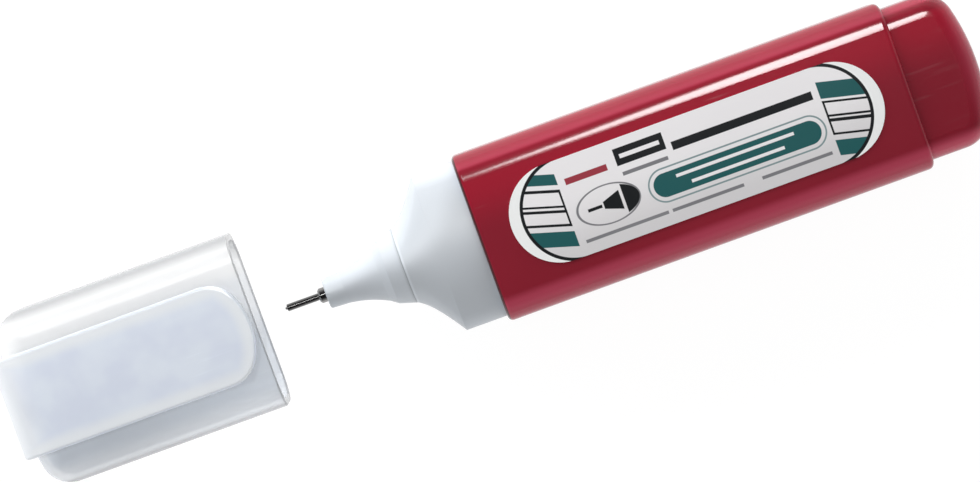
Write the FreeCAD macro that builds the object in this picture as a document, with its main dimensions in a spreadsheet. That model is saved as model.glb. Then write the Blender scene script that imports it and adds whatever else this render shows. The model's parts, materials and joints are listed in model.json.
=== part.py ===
import FreeCAD, Part
import math
import os
from types import SimpleNamespace

import Sketcher

# A correction-fluid pen, lying on the back of its flattened barrel with its cap taken off.
# X runs along the pen with the tip towards -X, Z is up, and the origin is the middle of the
# face that the barrel rests on. Each piece is drawn from the centre of the barrel's mouth, on
# the pen's axis. The cap is drawn from its own mouth.
SIZES = {
    # barrel: a squeeze bottle of flattened section, with a narrower tail
    "barrel_length": 76.0,
    "barrel_width": 29.45,
    "barrel_thick": 15.5,
    "barrel_corner": 4.6,
    "barrel_wall": 1.4,
    "barrel_lip": 0.9,
    "tail_length": 12.7,
    "tail_step": 1.3,
    "tail_corner": 5.2,
    "tail_round": 3.7,
    "tail_end_radius": 36.0,
    "snap_place": 3.2,
    "snap_width": 1.0,
    "snap_height": 0.25,
    # label: film on the wide face
    "label_length": 65.5,
    "label_width": 16.8,
    "label_film": 0.15,
    "label_place": 38.4,
    # shoulder: a plug in the mouth, the band that carries the cap and the flare to the neck
    "plug_length": 6.5,
    "plug_fit": 0.02,
    "shoulder_wall": 1.5,
    "band_length": 7.3,
    "band_width": 27.8,
    "flare_length": 6.25,
    "neck_radius": 4.3,
    "neck_length": 2.55,
    "neck_bore": 3.1,
    "neck_fit": 0.03,
    # nose cone
    "seam_gap": 0.05,
    "skirt_length": 2.85,
    "skirt_radius": 5.74,
    "step_length": 1.3,
    "step_radius": 4.82,
    "sweep_length": 6.65,
    "sweep_radius": 2.77,
    "sweep_curve": 19.4,
    "snout_length": 3.2,
    "snout_radius": 2.6,
    "gasket_thick": 0.7,
    # metal tip
    "ferrule_radius": 1.31,
    "ferrule_reach": 1.35,
    "ferrule_shank": 2.2,
    "tube_radius": 0.62,
    "tube_bore": 0.34,
    "tube_reach": 7.05,
    "tube_land": 0.8,
    "tube_seat": 0.3,
    # valve
    "chamber_radius": 1.9,
    "seat_radius": 3.0,
    "seat_place": 5.2,
    "seat_thick": 1.0,
    "seat_hole": 0.45,
    "seat_hole_circle": 1.9,
    "seat_holes": 6,
    "wire_radius": 0.26,
    "wire_proud": 0.35,
    "valve_gap": 0.05,
    "plunger_radius": 1.5,
    "plunger_length": 1.4,
    "stem_radius": 0.7,
    "stem_length": 2.8,
    "spring_radius": 1.15,
    "spring_wire": 0.14,
    "spring_turns": 5.0,
    "ball_radius": 3.0,
    "ball_place": 58.0,
    # cap and clip
    "cap_wall": 1.35,
    "cap_face_wall": 1.05,
    "cap_end_wall": 1.4,
    "cap_fit": 0.08,
    "cap_inner_round": 3.78,
    "cap_corner": 0.12,
    "cap_round": 4.7,
    "cap_end_radius": 60.0,
    "cap_rim_round": 0.35,
    "cap_off": 39.83,
    "clip_width": 17.4,
    "clip_thick": 1.5,
    "clip_gap": 1.6,
    "clip_root": 4.6,
    "clip_overhang": 0.4,
    "clip_short": 0.5,
    "clip_bend": 2.8,
    "clip_corner": 6.0,
    "clip_end_radius": 13.0,
    "clip_edge": 0.5,
    "bead_radius": 0.7,
    "bead_length": 9.0,
    "bead_place": 4.0,
    "boss_wall": 0.9,
    "boss_length": 3.0,
    # sleeve and pad inside the cap
    "sleeve_cover": 2.2,
    "sleeve_play": 0.72,
    "sleeve_wall": 1.1,
    "sleeve_foot": 2.7,
    "sleeve_web": 1.0,
    "pad_thick": 3.25,
    "pad_gap": 0.1,
}
ROUND = 0.3          # small edge rounding on the turned pieces
FLARE_STATIONS = (0.0, 0.13, 0.36, 0.66, 1.0)   # along the flare, from the band to the neck
FLARE_FALL = 1.35    # how steeply the flare leaves the band
OVAL_TURN = math.radians(65)     # where an oval section's sides meet its flatter faces
TOUCH = 0.01         # how near an edge lies to the plane that chooses it

doc = FreeCAD.newDocument("CorrectionPen")
sheet = doc.addObject("Spreadsheet::Sheet", "Sizes")
for row, (name, size) in enumerate(SIZES.items(), 1):
    sheet.set(f"A{row}", name)
    sheet.set(f"B{row}", str(size))
    sheet.setAlias(f"B{row}", name)
doc.recompute()


class Dim:
    """A size as a number, with the expression that ties it to the sheet."""

    def __init__(self, value, text):
        self.value, self.text = value, text

    def __add__(self, other):
        other = dim(other)
        return Dim(self.value + other.value, f"({self.text} + {other.text})")

    def __sub__(self, other):
        other = dim(other)
        return Dim(self.value - other.value, f"({self.text} - {other.text})")

    def __mul__(self, other):
        other = dim(other)
        return Dim(self.value * other.value, f"({self.text} * {other.text})")

    def __truediv__(self, other):
        other = dim(other)
        return Dim(self.value / other.value, f"({self.text} / {other.text})")

    def __neg__(self):
        return Dim(-self.value, f"(0 - {self.text})")


def dim(size):
    return size if isinstance(size, Dim) else Dim(float(size), f"{size:.6f}")


s = SimpleNamespace(**{name: Dim(float(size), f"Sizes.{name}") for name, size in SIZES.items()})


def bind(thing, name, size):
    thing.setExpression(name, dim(size).text)


def origin_feature(body, role):
    return next(f for f in body.Origin.OriginFeatures if f.Role == role)


# Sketches

def sketch_on(body, name, plane, offset=0):
    sketch = body.newObject("Sketcher::SketchObject", name)
    sketch.AttachmentSupport = [(origin_feature(body, plane), "")]
    sketch.MapMode = "FlatFace"
    bind(sketch, "AttachmentOffset.Base.z", offset)
    return sketch


def hold(sketch, kind, *where, size):
    """Add a constraint whose size follows the sheet."""
    size = dim(size)
    number = sketch.addConstraint(Sketcher.Constraint(kind, *where, size.value))
    sketch.setExpression(f"Constraints[{number}]", size.text)


def hold_point(sketch, piece, end, x, y):
    for kind, axis, size in (("DistanceX", -2, dim(x)), ("DistanceY", -1, dim(y))):
        if size.value == 0:
            sketch.addConstraint(Sketcher.Constraint("PointOnObject", piece, end, axis))
        else:
            hold(sketch, kind, -1, 1, piece, end, size=size)


def line(sketch, start, end):
    return sketch.addGeometry(Part.LineSegment(FreeCAD.Vector(*start), FreeCAD.Vector(*end)))


def arc(sketch, centre, radius, start, end):
    circle = Part.Circle(FreeCAD.Vector(*centre), FreeCAD.Vector(0, 0, 1), radius)
    return sketch.addGeometry(Part.ArcOfCircle(circle, start, end))


def tangent_chain(sketch, pieces):
    for before, after in zip(pieces, pieces[1:]):
        sketch.addConstraint(Sketcher.Constraint("Tangent", before, 2, after, 1))


def rounded_rect(body, name, half_width, half_height, corner, offset=0):
    """Sketch a section across the pen: a rectangle with round corners on its axis."""
    sketch = sketch_on(body, name, "YZ_Plane", offset)
    a, b, r = dim(half_width).value, dim(half_height).value, dim(corner).value
    quarter = math.pi / 2
    pieces = []
    for turn, (u, v) in enumerate(((a, b), (b, a), (a, b), (b, a))):
        cos, sin = (1, 0, -1, 0)[turn], (0, 1, 0, -1)[turn]
        place = lambda x, y: (x * cos - y * sin, x * sin + y * cos, 0)
        pieces.append(line(sketch, place(-u + r, -v), place(u - r, -v)))
        pieces.append(arc(sketch, place(u - r, -v + r), r, (turn - 1) * quarter, turn * quarter))
    tangent_chain(sketch, pieces + pieces[:1])
    for side, way in zip(pieces[::2], ("Horizontal", "Vertical", "Horizontal", "Vertical")):
        sketch.addConstraint(Sketcher.Constraint(way, side))
    for round_corner in pieces[3::2]:
        sketch.addConstraint(Sketcher.Constraint("Equal", pieces[1], round_corner))
    hold(sketch, "Radius", pieces[1], size=corner)
    sketch.addConstraint(Sketcher.Constraint("Symmetric", pieces[1], 3, pieces[5], 3, -1, 1))
    hold(sketch, "DistanceX", -1, 1, pieces[2], 1, size=half_width)
    hold(sketch, "DistanceY", -1, 1, pieces[4], 1, size=half_height)
    return sketch


def plan_outline(body, name, open_x, end_x, half_width, corner, end_radius, offset=0):
    """Sketch a plan seen from above, square where it is open, with a softly bulged far end."""
    sketch = sketch_on(body, name, "XY_Plane", offset)
    open_x, end_x, half_width = dim(open_x), dim(end_x), dim(half_width)
    corner, end_radius = dim(corner), dim(end_radius)
    way = 1 if end_x.value > open_x.value else -1
    turn = 0 if way > 0 else math.pi
    w, r, big = half_width.value, corner.value, end_radius.value
    middle = way * end_x.value - big
    reach = math.sqrt((big - r) ** 2 - (w - r) ** 2)
    lean = math.atan2(w - r, reach)
    place = lambda x, y: (way * x, way * y, 0)
    start = way * open_x.value
    pieces = [
        line(sketch, place(start, -w), place(middle + reach, -w)),
        arc(sketch, place(middle + reach, -w + r), r, turn - math.pi / 2, turn - lean),
        arc(sketch, place(middle, 0), big, turn - lean, turn + lean),
        arc(sketch, place(middle + reach, w - r), r, turn + lean, turn + math.pi / 2),
        line(sketch, place(middle + reach, w), place(start, w)),
        line(sketch, place(start, w), place(start, -w)),
    ]
    tangent_chain(sketch, pieces[:5])
    for before, after in ((4, 5), (5, 0)):
        sketch.addConstraint(
            Sketcher.Constraint("Coincident", pieces[before], 2, pieces[after], 1))
    sketch.addConstraint(Sketcher.Constraint("Horizontal", pieces[0]))
    sketch.addConstraint(Sketcher.Constraint("Horizontal", pieces[4]))
    sketch.addConstraint(Sketcher.Constraint("Equal", pieces[1], pieces[3]))
    sketch.addConstraint(Sketcher.Constraint("PointOnObject", pieces[2], 3, -1))
    hold(sketch, "Radius", pieces[1], size=corner)
    hold(sketch, "Radius", pieces[2], size=end_radius)
    hold(sketch, "DistanceX", -1, 1, pieces[2], 3, size=end_x - end_radius * way)
    hold_point(sketch, pieces[0], 1, open_x, -half_width * way)
    hold_point(sketch, pieces[4], 2, open_x, half_width * way)
    return sketch


def outline(body, name, plane, points, curves=None, offset=0):
    """Sketch a closed outline through the points. A curve, by the point it leaves, has a radius:
    positive where its centre lies on the left, negative on the right."""
    sketch = sketch_on(body, name, plane, offset)
    curves = curves or {}
    points = [(dim(x), dim(y)) for x, y in points]
    ends = []
    for number, (start, end) in enumerate(zip(points, points[1:] + points[:1])):
        p, q = (FreeCAD.Vector(x.value, y.value, 0) for x, y in (start, end))
        if number not in curves:
            ends.append((line(sketch, p, q), 1, 2))
            continue
        radius = dim(curves[number])
        side = 1 if radius.value > 0 else -1
        chord = q - p
        left = FreeCAD.Vector(-chord.y, chord.x, 0).normalize()
        depth = math.sqrt(radius.value ** 2 - (chord.Length / 2) ** 2)
        centre = (p + q) / 2 + left * (side * depth)
        begin, finish = (p, q) if side > 0 else (q, p)
        angles = [math.atan2(v.y - centre.y, v.x - centre.x) for v in (begin, finish)]
        piece = arc(sketch, centre, abs(radius.value), *angles)
        hold(sketch, "Radius", piece, size=radius * side)
        ends.append((piece, 1, 2) if side > 0 else (piece, 2, 1))
    for (piece, _, last), (after, first, _) in zip(ends, ends[1:] + ends[:1]):
        sketch.addConstraint(Sketcher.Constraint("Coincident", piece, last, after, first))
    for (piece, first, _), (x, y) in zip(ends, points):
        hold_point(sketch, piece, first, x, y)
    return sketch


def oval(body, name, half_width, half_height, offset=0):
    """Sketch a section of four arcs that meet smoothly. It is round where both halves are equal."""
    cos, sin = math.cos(OVAL_TURN), math.sin(OVAL_TURN)
    flatter = (1 - sin) / cos
    half_width, half_height = dim(half_width), dim(half_height)
    side = (half_height - half_width * flatter) / (1 - flatter)
    face = side + (half_width - side) / cos
    x, y = half_width - side * (1 - cos), side * sin
    return outline(body, name, "YZ_Plane", [(x, -y), (x, y), (-x, y), (-x, -y)],
                   {0: side, 1: face, 2: side, 3: face}, offset)


def circles(body, name, plane, radii, x=0, y=0, offset=0):
    """Sketch circles round one centre: a disc, or a ring if there are two."""
    sketch = sketch_on(body, name, plane, offset)
    for radius in radii:
        centre = FreeCAD.Vector(dim(x).value, dim(y).value, 0)
        number = sketch.addGeometry(
            Part.Circle(centre, FreeCAD.Vector(0, 0, 1), dim(radius).value))
        hold(sketch, "Radius", number, size=radius)
        hold_point(sketch, number, 3, x, y)
    return sketch


def stadium(body, name, middle_x, length, width, offset):
    sketch = sketch_on(body, name, "XY_Plane", offset)
    r, half = width.value / 2, (length.value - width.value) / 2
    x = middle_x.value
    pieces = [
        line(sketch, (x - half, -r, 0), (x + half, -r, 0)),
        arc(sketch, (x + half, 0, 0), r, -math.pi / 2, math.pi / 2),
        line(sketch, (x + half, r, 0), (x - half, r, 0)),
        arc(sketch, (x - half, 0, 0), r, math.pi / 2, math.pi * 1.5),
    ]
    tangent_chain(sketch, pieces + pieces[:1])
    sketch.addConstraint(Sketcher.Constraint("Equal", pieces[1], pieces[3]))
    hold(sketch, "Radius", pieces[1], size=width / 2)
    for piece, way in ((pieces[1], 1), (pieces[3], -1)):
        hold_point(sketch, piece, 3, middle_x + (length - width) / 2 * way, 0)
    return sketch


# Features

def new_body(label, from_mouth=0):
    body = doc.addObject("PartDesign::Body", label)
    body.Label = label
    bind(body, "Placement.Base.x", -s.barrel_length / 2 + from_mouth)
    bind(body, "Placement.Base.z", s.barrel_thick / 2)
    return body


def feature(body, kind, name, **settings):
    made = body.newObject(f"PartDesign::{kind}", name)
    for key, setting in settings.items():
        if isinstance(setting, Dim):
            bind(made, key, setting)
        else:
            setattr(made, key, setting)
    doc.recompute()
    return made


def pad(body, name, sketch, length, back=False, both=False):
    return feature(body, "Pad", name, Profile=sketch, Length=dim(length), Reversed=back,
                   SideType="Symmetric" if both else "One side")


def cut(body, name, sketch, length, back=True, both=False):
    """Cut a pocket along the sketch's normal, or against it if back is set."""
    before = body.Shape.Volume
    made = feature(body, "Pocket", name, Profile=sketch, Length=dim(length), Reversed=not back,
                   SideType="Symmetric" if both else "One side")
    if made.Shape.Volume > before - TOUCH ** 2:
        raise ValueError(f"{name} cuts nothing")
    return made


def turn(body, name, sketch, kind="Revolution"):
    return feature(body, kind, name, Profile=sketch, Angle=360.0,
                   ReferenceAxis=(origin_feature(body, "X_Axis"), [""]))


def soften(body, name, size, chosen, kind="Fillet"):
    """Round or bevel the edges that the test picks."""
    base = body.Tip
    edges = [f"Edge{n}" for n, edge in enumerate(base.Shape.Edges, 1) if chosen(edge)]
    key = "Radius" if kind == "Fillet" else "Size"
    return feature(body, kind, name, Base=(base, edges), **{key: dim(size)})


def in_plane(edge, axis, level):
    low, high = (getattr(edge.BoundBox, axis + side) for side in ("Min", "Max"))
    return max(abs(low - dim(level).value), abs(high - dim(level).value)) < TOUCH


def reaches_out(edge, half_width, half_thick):
    box = edge.BoundBox
    return (max(box.YMax, -box.YMin) > half_width.value + TOUCH
            or max(box.ZMax, -box.ZMin) > half_thick.value + TOUCH)


# Places along the pen that several pieces share
band_thick = s.barrel_thick - (s.cap_face_wall + s.cap_fit) * 2
seam_x = -(s.band_length + s.flare_length)
nose_back_x = seam_x - s.seam_gap
neck_front_x = seam_x - s.neck_length
gasket_front_x = neck_front_x - s.gasket_thick
skirt_x = nose_back_x - s.skirt_length
step_x = skirt_x - s.step_length
sweep_x = step_x - s.sweep_length
snout_x = sweep_x - s.snout_length
shank_back_x = snout_x + s.ferrule_shank
chamber_front_x = shank_back_x + s.tube_land
tube_back_x = chamber_front_x + s.tube_seat
tube_front_x = snout_x - s.tube_reach
seat_front_x = chamber_front_x + s.seat_place
plunger_front_x = tube_back_x + s.valve_gap
plunger_back_x = plunger_front_x + s.plunger_length
sleeve_bore = s.snout_radius + s.sleeve_play
pad_front_x = tube_front_x - s.wire_proud - s.pad_gap
web_front_x = pad_front_x - s.pad_thick
web_back_x = web_front_x - s.sleeve_web
cap_floor_x = web_back_x - s.sleeve_foot
cap_length = s.cap_end_wall - cap_floor_x


def make_barrel():
    body = new_body("barrel")
    width, thick = s.barrel_width / 2, s.barrel_thick / 2
    tail_width, tail_thick = width - s.tail_step, thick - s.tail_step
    tail_end = s.barrel_length + s.tail_length
    pad(body, "Tail", plan_outline(body, "TailPlan", s.barrel_length - s.barrel_wall, tail_end,
                                   tail_width, s.tail_corner, s.tail_end_radius),
        tail_thick * 2, both=True)
    soften(body, "TailRound", s.tail_round,
           lambda e: (in_plane(e, "Z", tail_thick) or in_plane(e, "Z", -tail_thick))
           and e.BoundBox.XMax > s.barrel_length.value)
    pad(body, "Case", rounded_rect(body, "CaseSection", width, thick, s.barrel_corner),
        s.barrel_length)
    soften(body, "CaseEnds", s.barrel_lip,
           lambda e: in_plane(e, "X", 0) or (in_plane(e, "X", s.barrel_length)
                                             and reaches_out(e, tail_width, tail_thick)))
    wall = s.barrel_wall
    cut(body, "Inside", rounded_rect(body, "InsideSection", width - wall, thick - wall,
                                     s.barrel_corner - wall), s.barrel_length - wall, back=False)
    inner = tail_thick - wall
    cut(body, "TailInside", plan_outline(body, "TailInsidePlan", s.barrel_length - wall * 2,
                                         tail_end - wall, tail_width - wall,
                                         s.tail_corner - wall, s.tail_end_radius - wall),
        inner * 2, both=True)
    soften(body, "TailInsideRound", s.tail_round - wall,
           lambda e: (in_plane(e, "Z", inner) or in_plane(e, "Z", -inner))
           and e.BoundBox.XMax > s.barrel_length.value)
    cut(body, "SnapGroove", rounded_rect(body, "SnapGrooveSection",
                                         width - wall + s.snap_height,
                                         thick - wall + s.snap_height,
                                         s.barrel_corner - wall + s.snap_height, s.snap_place),
        s.snap_width, back=False)
    return body


def make_label():
    body = new_body("label")
    pad(body, "Film", stadium(body, "FilmPlan", s.label_place, s.label_length, s.label_width,
                              s.barrel_thick / 2), s.label_film)
    return body


def make_shoulder():
    body = new_body("shoulder")
    half_width, half_thick = s.band_width / 2, band_thick / 2
    stations = []
    for number, along in enumerate(FLARE_STATIONS):
        fall = (1 - along) ** FLARE_FALL
        stations.append(oval(body, f"FlareSection{number}",
                             half_thick * (1 - fall) + half_width * fall, half_thick,
                             -s.band_length - s.flare_length * along))
    feature(body, "AdditiveLoft", "Flare", Profile=stations[0], Sections=stations[1:])
    pad(body, "Band", oval(body, "BandSection", half_width, half_thick),
        s.band_length, back=True)
    pad(body, "Neck", circles(body, "NeckSection", "YZ_Plane", [s.neck_radius], offset=seam_x),
        s.neck_length, back=True)
    inset = s.barrel_wall + s.plug_fit
    plug = (s.barrel_width / 2 - inset, s.barrel_thick / 2 - inset, s.barrel_corner - inset)
    pad(body, "Plug", rounded_rect(body, "PlugSection", *plug), s.plug_length)
    pad(body, "SnapBead", rounded_rect(body, "SnapBeadSection",
                                       *(size + s.snap_height for size in plug),
                                       s.snap_place + s.plug_fit),
        s.snap_width - s.plug_fit * 2)
    wall = s.shoulder_wall
    cut(body, "PlugInside", rounded_rect(body, "PlugInsideSection",
                                         *(size - wall for size in plug), s.plug_length),
        s.plug_length - wall)
    cut(body, "BandInside", oval(body, "BandInsideSection", plug[0] - wall, half_thick - wall,
                                 wall), s.band_length)
    cut(body, "NeckBore", circles(body, "NeckBoreSection", "YZ_Plane", [s.neck_bore]),
        s.band_length + s.flare_length + s.neck_length)
    return body


def make_nose_cone():
    body = new_body("nose_cone")
    bore = s.neck_radius + s.neck_fit
    shank = s.ferrule_radius + s.plug_fit
    tube = s.tube_radius + s.plug_fit
    points = [
        (nose_back_x, bore), (gasket_front_x, bore),
        (gasket_front_x, s.seat_radius), (seat_front_x, s.seat_radius),
        (seat_front_x, s.chamber_radius), (chamber_front_x, s.chamber_radius),
        (chamber_front_x, tube), (shank_back_x, tube), (shank_back_x, shank), (snout_x, shank),
        (snout_x, s.snout_radius), (sweep_x, s.sweep_radius), (step_x, s.step_radius),
        (skirt_x, s.skirt_radius), (nose_back_x, band_thick / 2),
    ]
    turn(body, "Cone", outline(body, "ConeProfile", "XY_Plane", points,
                               {11: s.sweep_curve}))
    soften(body, "ConeEdges", ROUND,
           lambda e: in_plane(e, "X", snout_x) and e.BoundBox.YMax > s.ferrule_radius.value + 1)
    return body


def make_tip_ferrule():
    body = new_body("tip_ferrule")
    front_x = snout_x - s.ferrule_reach
    bore = s.tube_radius + s.plug_fit
    points = [(front_x, bore), (front_x, s.ferrule_radius - ROUND),
              (front_x + ROUND, s.ferrule_radius), (shank_back_x, s.ferrule_radius),
              (shank_back_x, bore)]
    turn(body, "Collar", outline(body, "CollarProfile", "XY_Plane", points))
    return body


def make_tip_tube():
    body = new_body("tip_tube")
    bevel = (s.tube_radius - s.tube_bore) / 3
    points = [(tube_front_x, s.tube_bore), (tube_front_x, s.tube_radius - bevel),
              (tube_front_x + bevel, s.tube_radius), (tube_back_x, s.tube_radius),
              (tube_back_x, s.tube_bore)]
    turn(body, "Needle", outline(body, "NeedleProfile", "XY_Plane", points))
    return body


def make_valve_wire():
    body = new_body("valve_wire")
    front_x = tube_front_x - s.wire_proud
    points = [(front_x, 0), (front_x + s.wire_radius, s.wire_radius),
              (plunger_back_x, s.wire_radius), (plunger_back_x, 0)]
    turn(body, "Wire", outline(body, "WireProfile", "XY_Plane", points, {0: -s.wire_radius}))
    return body


def make_valve_plunger():
    body = new_body("valve_plunger")
    hole = s.wire_radius + s.plug_fit
    cone = s.plunger_length * 0.35
    stem_x = plunger_back_x + s.stem_length
    points = [(plunger_front_x, hole), (plunger_front_x, s.tube_radius + ROUND),
              (plunger_front_x + cone, s.plunger_radius), (plunger_back_x, s.plunger_radius),
              (plunger_back_x, s.stem_radius), (stem_x, s.stem_radius), (stem_x, 0),
              (plunger_back_x, 0), (plunger_back_x, hole)]
    turn(body, "Plunger", outline(body, "PlungerProfile", "XY_Plane", points))
    return body


def make_valve_spring():
    body = new_body("valve_spring")
    sketch = circles(body, "SpringWire", "XY_Plane", [s.spring_wire],
                     plunger_back_x + s.spring_wire, s.spring_radius)
    feature(body, "AdditiveHelix", "Coil", Profile=sketch, Mode="height-turns-angle",
            ReferenceAxis=(origin_feature(body, "X_Axis"), [""]),
            Height=seat_front_x - plunger_back_x - s.spring_wire * 2, Turns=s.spring_turns)
    return body


def make_spring_seat():
    body = new_body("spring_seat")
    pad(body, "Disc", circles(body, "DiscSection", "YZ_Plane",
                              [s.seat_radius - s.plug_fit, s.stem_radius + s.neck_fit],
                              offset=seat_front_x), s.seat_thick)
    hole = cut(body, "FlowHole", circles(body, "FlowHoleSection", "YZ_Plane", [s.seat_hole],
                                         s.seat_hole_circle, 0, seat_front_x),
               s.seat_thick, back=False)
    pattern = body.newObject("PartDesign::PolarPattern", "FlowHoles")
    pattern.Originals = [hole]
    pattern.Axis = (origin_feature(body, "X_Axis"), [""])
    pattern.Angle = 360.0
    bind(pattern, "Occurrences", s.seat_holes)
    body.Tip = pattern
    doc.recompute()
    return body


def make_nose_seal():
    body = new_body("nose_seal")
    pad(body, "Ring", circles(body, "RingSection", "YZ_Plane", [s.neck_radius, s.neck_bore],
                              offset=gasket_front_x), s.gasket_thick)
    return body


def make_mixing_ball():
    ball = doc.addObject("Part::Sphere", "mixing_ball")
    ball.Label = "mixing_ball"
    bind(ball, "Radius", s.ball_radius)
    bind(ball, "Placement.Base.x", -s.barrel_length / 2 + s.ball_place)
    bind(ball, "Placement.Base.z", s.barrel_wall + s.ball_radius + s.plug_fit)
    doc.recompute()
    return ball


def make_cap():
    body = new_body("cap", -s.cap_off)
    inner_width = s.band_width / 2 + s.cap_fit
    inner_thick = band_thick / 2 + s.cap_fit
    half_width, half_thick = inner_width + s.cap_wall, s.barrel_thick / 2
    inner_round = s.cap_inner_round
    pad(body, "Shell", plan_outline(body, "ShellPlan", 0, -cap_length, half_width,
                                    inner_round + s.cap_corner + s.cap_wall,
                                    s.cap_end_radius), half_thick * 2, both=True)
    cut(body, "Inside", plan_outline(body, "InsidePlan", 0, cap_floor_x, inner_width,
                                     inner_round + s.cap_corner,
                                     s.cap_end_radius - s.cap_end_wall),
        inner_thick * 2, both=True)
    soften(body, "InsideRound", inner_round,
           lambda e: (in_plane(e, "Z", inner_thick) or in_plane(e, "Z", -inner_thick))
           and e.BoundBox.XMin < -TOUCH)
    soften(body, "ShellRound", s.cap_round,
           lambda e: (in_plane(e, "Z", half_thick) or in_plane(e, "Z", -half_thick))
           and e.BoundBox.XMin < -TOUCH)
    soften(body, "Rim", s.cap_rim_round, lambda e: in_plane(e, "X", 0))
    # the clip: a tongue over the wide face, and the bend that joins it to the closed end
    under, top = half_thick + s.clip_gap, half_thick + s.clip_gap + s.clip_thick
    end_x, root_x = -cap_length - s.clip_overhang, -cap_length + s.clip_root
    pad(body, "Tongue", plan_outline(body, "TonguePlan", root_x - 1, -s.clip_short,
                                     s.clip_width / 2, s.clip_corner, s.clip_end_radius, under),
        s.clip_thick)
    sunk = s.cap_face_wall / 2
    points = [(end_x, inner_thick - inner_round),
              (cap_floor_x - sunk, inner_thick - inner_round),
              (cap_floor_x + inner_round, inner_thick + sunk), (root_x, inner_thick + sunk),
              (root_x, top), (end_x + s.clip_bend, top), (end_x, top - s.clip_bend)]
    pad(body, "ClipRoot", outline(body, "ClipRootProfile", "XZ_Plane", points,
                                  {1: -inner_round - sunk, 5: s.clip_bend}),
        s.clip_width, both=True)
    soften(body, "ClipCrotch", s.clip_gap / 2,
           lambda e: in_plane(e, "X", root_x) and in_plane(e, "Z", under))
    soften(body, "ClipEdges", s.clip_edge,
           lambda e: in_plane(e, "Z", top) and e.BoundBox.XLength > s.clip_edge.value)
    pad(body, "ClipBead", circles(body, "ClipBeadSection", "XZ_Plane", [s.bead_radius],
                                  -s.bead_place, under + s.bead_radius / 4),
        s.bead_length, both=True)
    # the ring that holds the sleeve, with a flat seat
    sleeve = sleeve_bore + s.sleeve_wall + s.plug_fit
    pad(body, "SleeveRing", circles(body, "SleeveRingSection", "YZ_Plane",
                                    [sleeve + s.boss_wall], offset=cap_floor_x), s.boss_length)
    cut(body, "SleeveSeat", circles(body, "SleeveSeatSection", "YZ_Plane", [sleeve],
                                    offset=cap_floor_x), s.boss_length, back=False)
    return body


def make_inner_cap():
    body = new_body("inner_cap", -s.cap_off)
    outer = sleeve_bore + s.sleeve_wall
    mouth_x = sweep_x + s.sleeve_cover
    lead = s.sleeve_wall / 2
    points = [(cap_floor_x, outer), (cap_floor_x, sleeve_bore), (web_back_x, sleeve_bore),
              (web_back_x, 0), (web_front_x, 0), (web_front_x, sleeve_bore),
              (mouth_x - lead, sleeve_bore), (mouth_x, sleeve_bore + lead / 2),
              (mouth_x, outer)]
    turn(body, "Sleeve", outline(body, "SleeveProfile", "XY_Plane", points))
    return body


def make_tip_pad():
    body = new_body("tip_pad", -s.cap_off)
    pad(body, "Pad", circles(body, "PadSection", "YZ_Plane", [sleeve_bore - s.plug_fit],
                             offset=web_front_x), s.pad_thick)
    return body


parts = [
    make_barrel(), make_label(), make_shoulder(), make_nose_cone(), make_tip_ferrule(),
    make_tip_tube(), make_valve_wire(), make_valve_plunger(), make_valve_spring(),
    make_spring_seat(), make_nose_seal(), make_mixing_ball(), make_cap(), make_inner_cap(),
    make_tip_pad(),
]
doc.recompute()

failed = [o.Label for o in doc.Objects if "Invalid" in o.State or "Error" in o.State]
failed += [p.Label for p in parts if p.Shape.isNull() or not p.Shape.isValid()]
if failed:
    raise RuntimeError(f"not built: {', '.join(failed)}")

os.makedirs("parts", exist_ok=True)
for part in parts:
    part.Shape.exportStep(f"parts/{part.Label}.step")
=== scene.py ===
import json
import math

import bpy
from mathutils import Euler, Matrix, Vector


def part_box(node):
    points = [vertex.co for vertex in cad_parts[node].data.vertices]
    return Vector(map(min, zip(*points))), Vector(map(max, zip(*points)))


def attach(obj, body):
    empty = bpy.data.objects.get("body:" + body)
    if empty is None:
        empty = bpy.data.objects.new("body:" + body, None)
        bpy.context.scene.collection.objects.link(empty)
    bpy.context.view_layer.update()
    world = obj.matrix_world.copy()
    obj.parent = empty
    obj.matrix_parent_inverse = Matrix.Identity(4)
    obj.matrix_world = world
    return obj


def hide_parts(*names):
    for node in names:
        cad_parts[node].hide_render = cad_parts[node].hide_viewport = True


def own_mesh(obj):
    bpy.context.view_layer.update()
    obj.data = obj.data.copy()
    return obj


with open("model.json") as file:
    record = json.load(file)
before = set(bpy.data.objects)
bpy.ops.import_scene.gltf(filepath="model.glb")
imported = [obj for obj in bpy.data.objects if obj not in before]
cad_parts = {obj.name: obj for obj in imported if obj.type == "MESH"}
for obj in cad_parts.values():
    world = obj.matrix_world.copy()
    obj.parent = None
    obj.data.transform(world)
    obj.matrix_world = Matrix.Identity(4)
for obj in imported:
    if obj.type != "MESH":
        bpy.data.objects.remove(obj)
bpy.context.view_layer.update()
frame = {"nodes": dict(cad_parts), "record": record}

bl_info = {
    "name": "Correction pen",
    "version": (1, 0, 0),
    "blender": (4, 5, 0),
    "location": "View3D > Sidebar > Pen",
    "description": "Finishes a flat squeeze-bottle correction pen and its clip cap",
    "category": "Object",
}

MM = 0.001

# The frame's own places, in millimetres
AXIS_Z = sum(corner.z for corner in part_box("tip_tube")) / 2 / MM
BARREL_MIN, BARREL_MAX = (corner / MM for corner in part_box("barrel"))
LABEL_MIN, LABEL_MAX = (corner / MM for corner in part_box("label"))
CAP_MIN, CAP_MAX = (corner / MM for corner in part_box("cap"))
SHELL_TOP = BARREL_MAX.z         # the cap's shell is as thick as the barrel
SEAM_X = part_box("nose_cone")[1].x / MM

WHITE = (1.0, 1.0, 1.0, 1.0)


# Sizes and colours that a user would change

def colour(name, description, value):
    return bpy.props.FloatVectorProperty(
        name=name, description=description, subtype="COLOR", size=4, min=0.0, max=1.0,
        default=(*value, 1.0))


def share(name, description, value):
    return bpy.props.FloatProperty(
        name=name, description=description, subtype="FACTOR", min=0.0, max=1.0, default=value)


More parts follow.
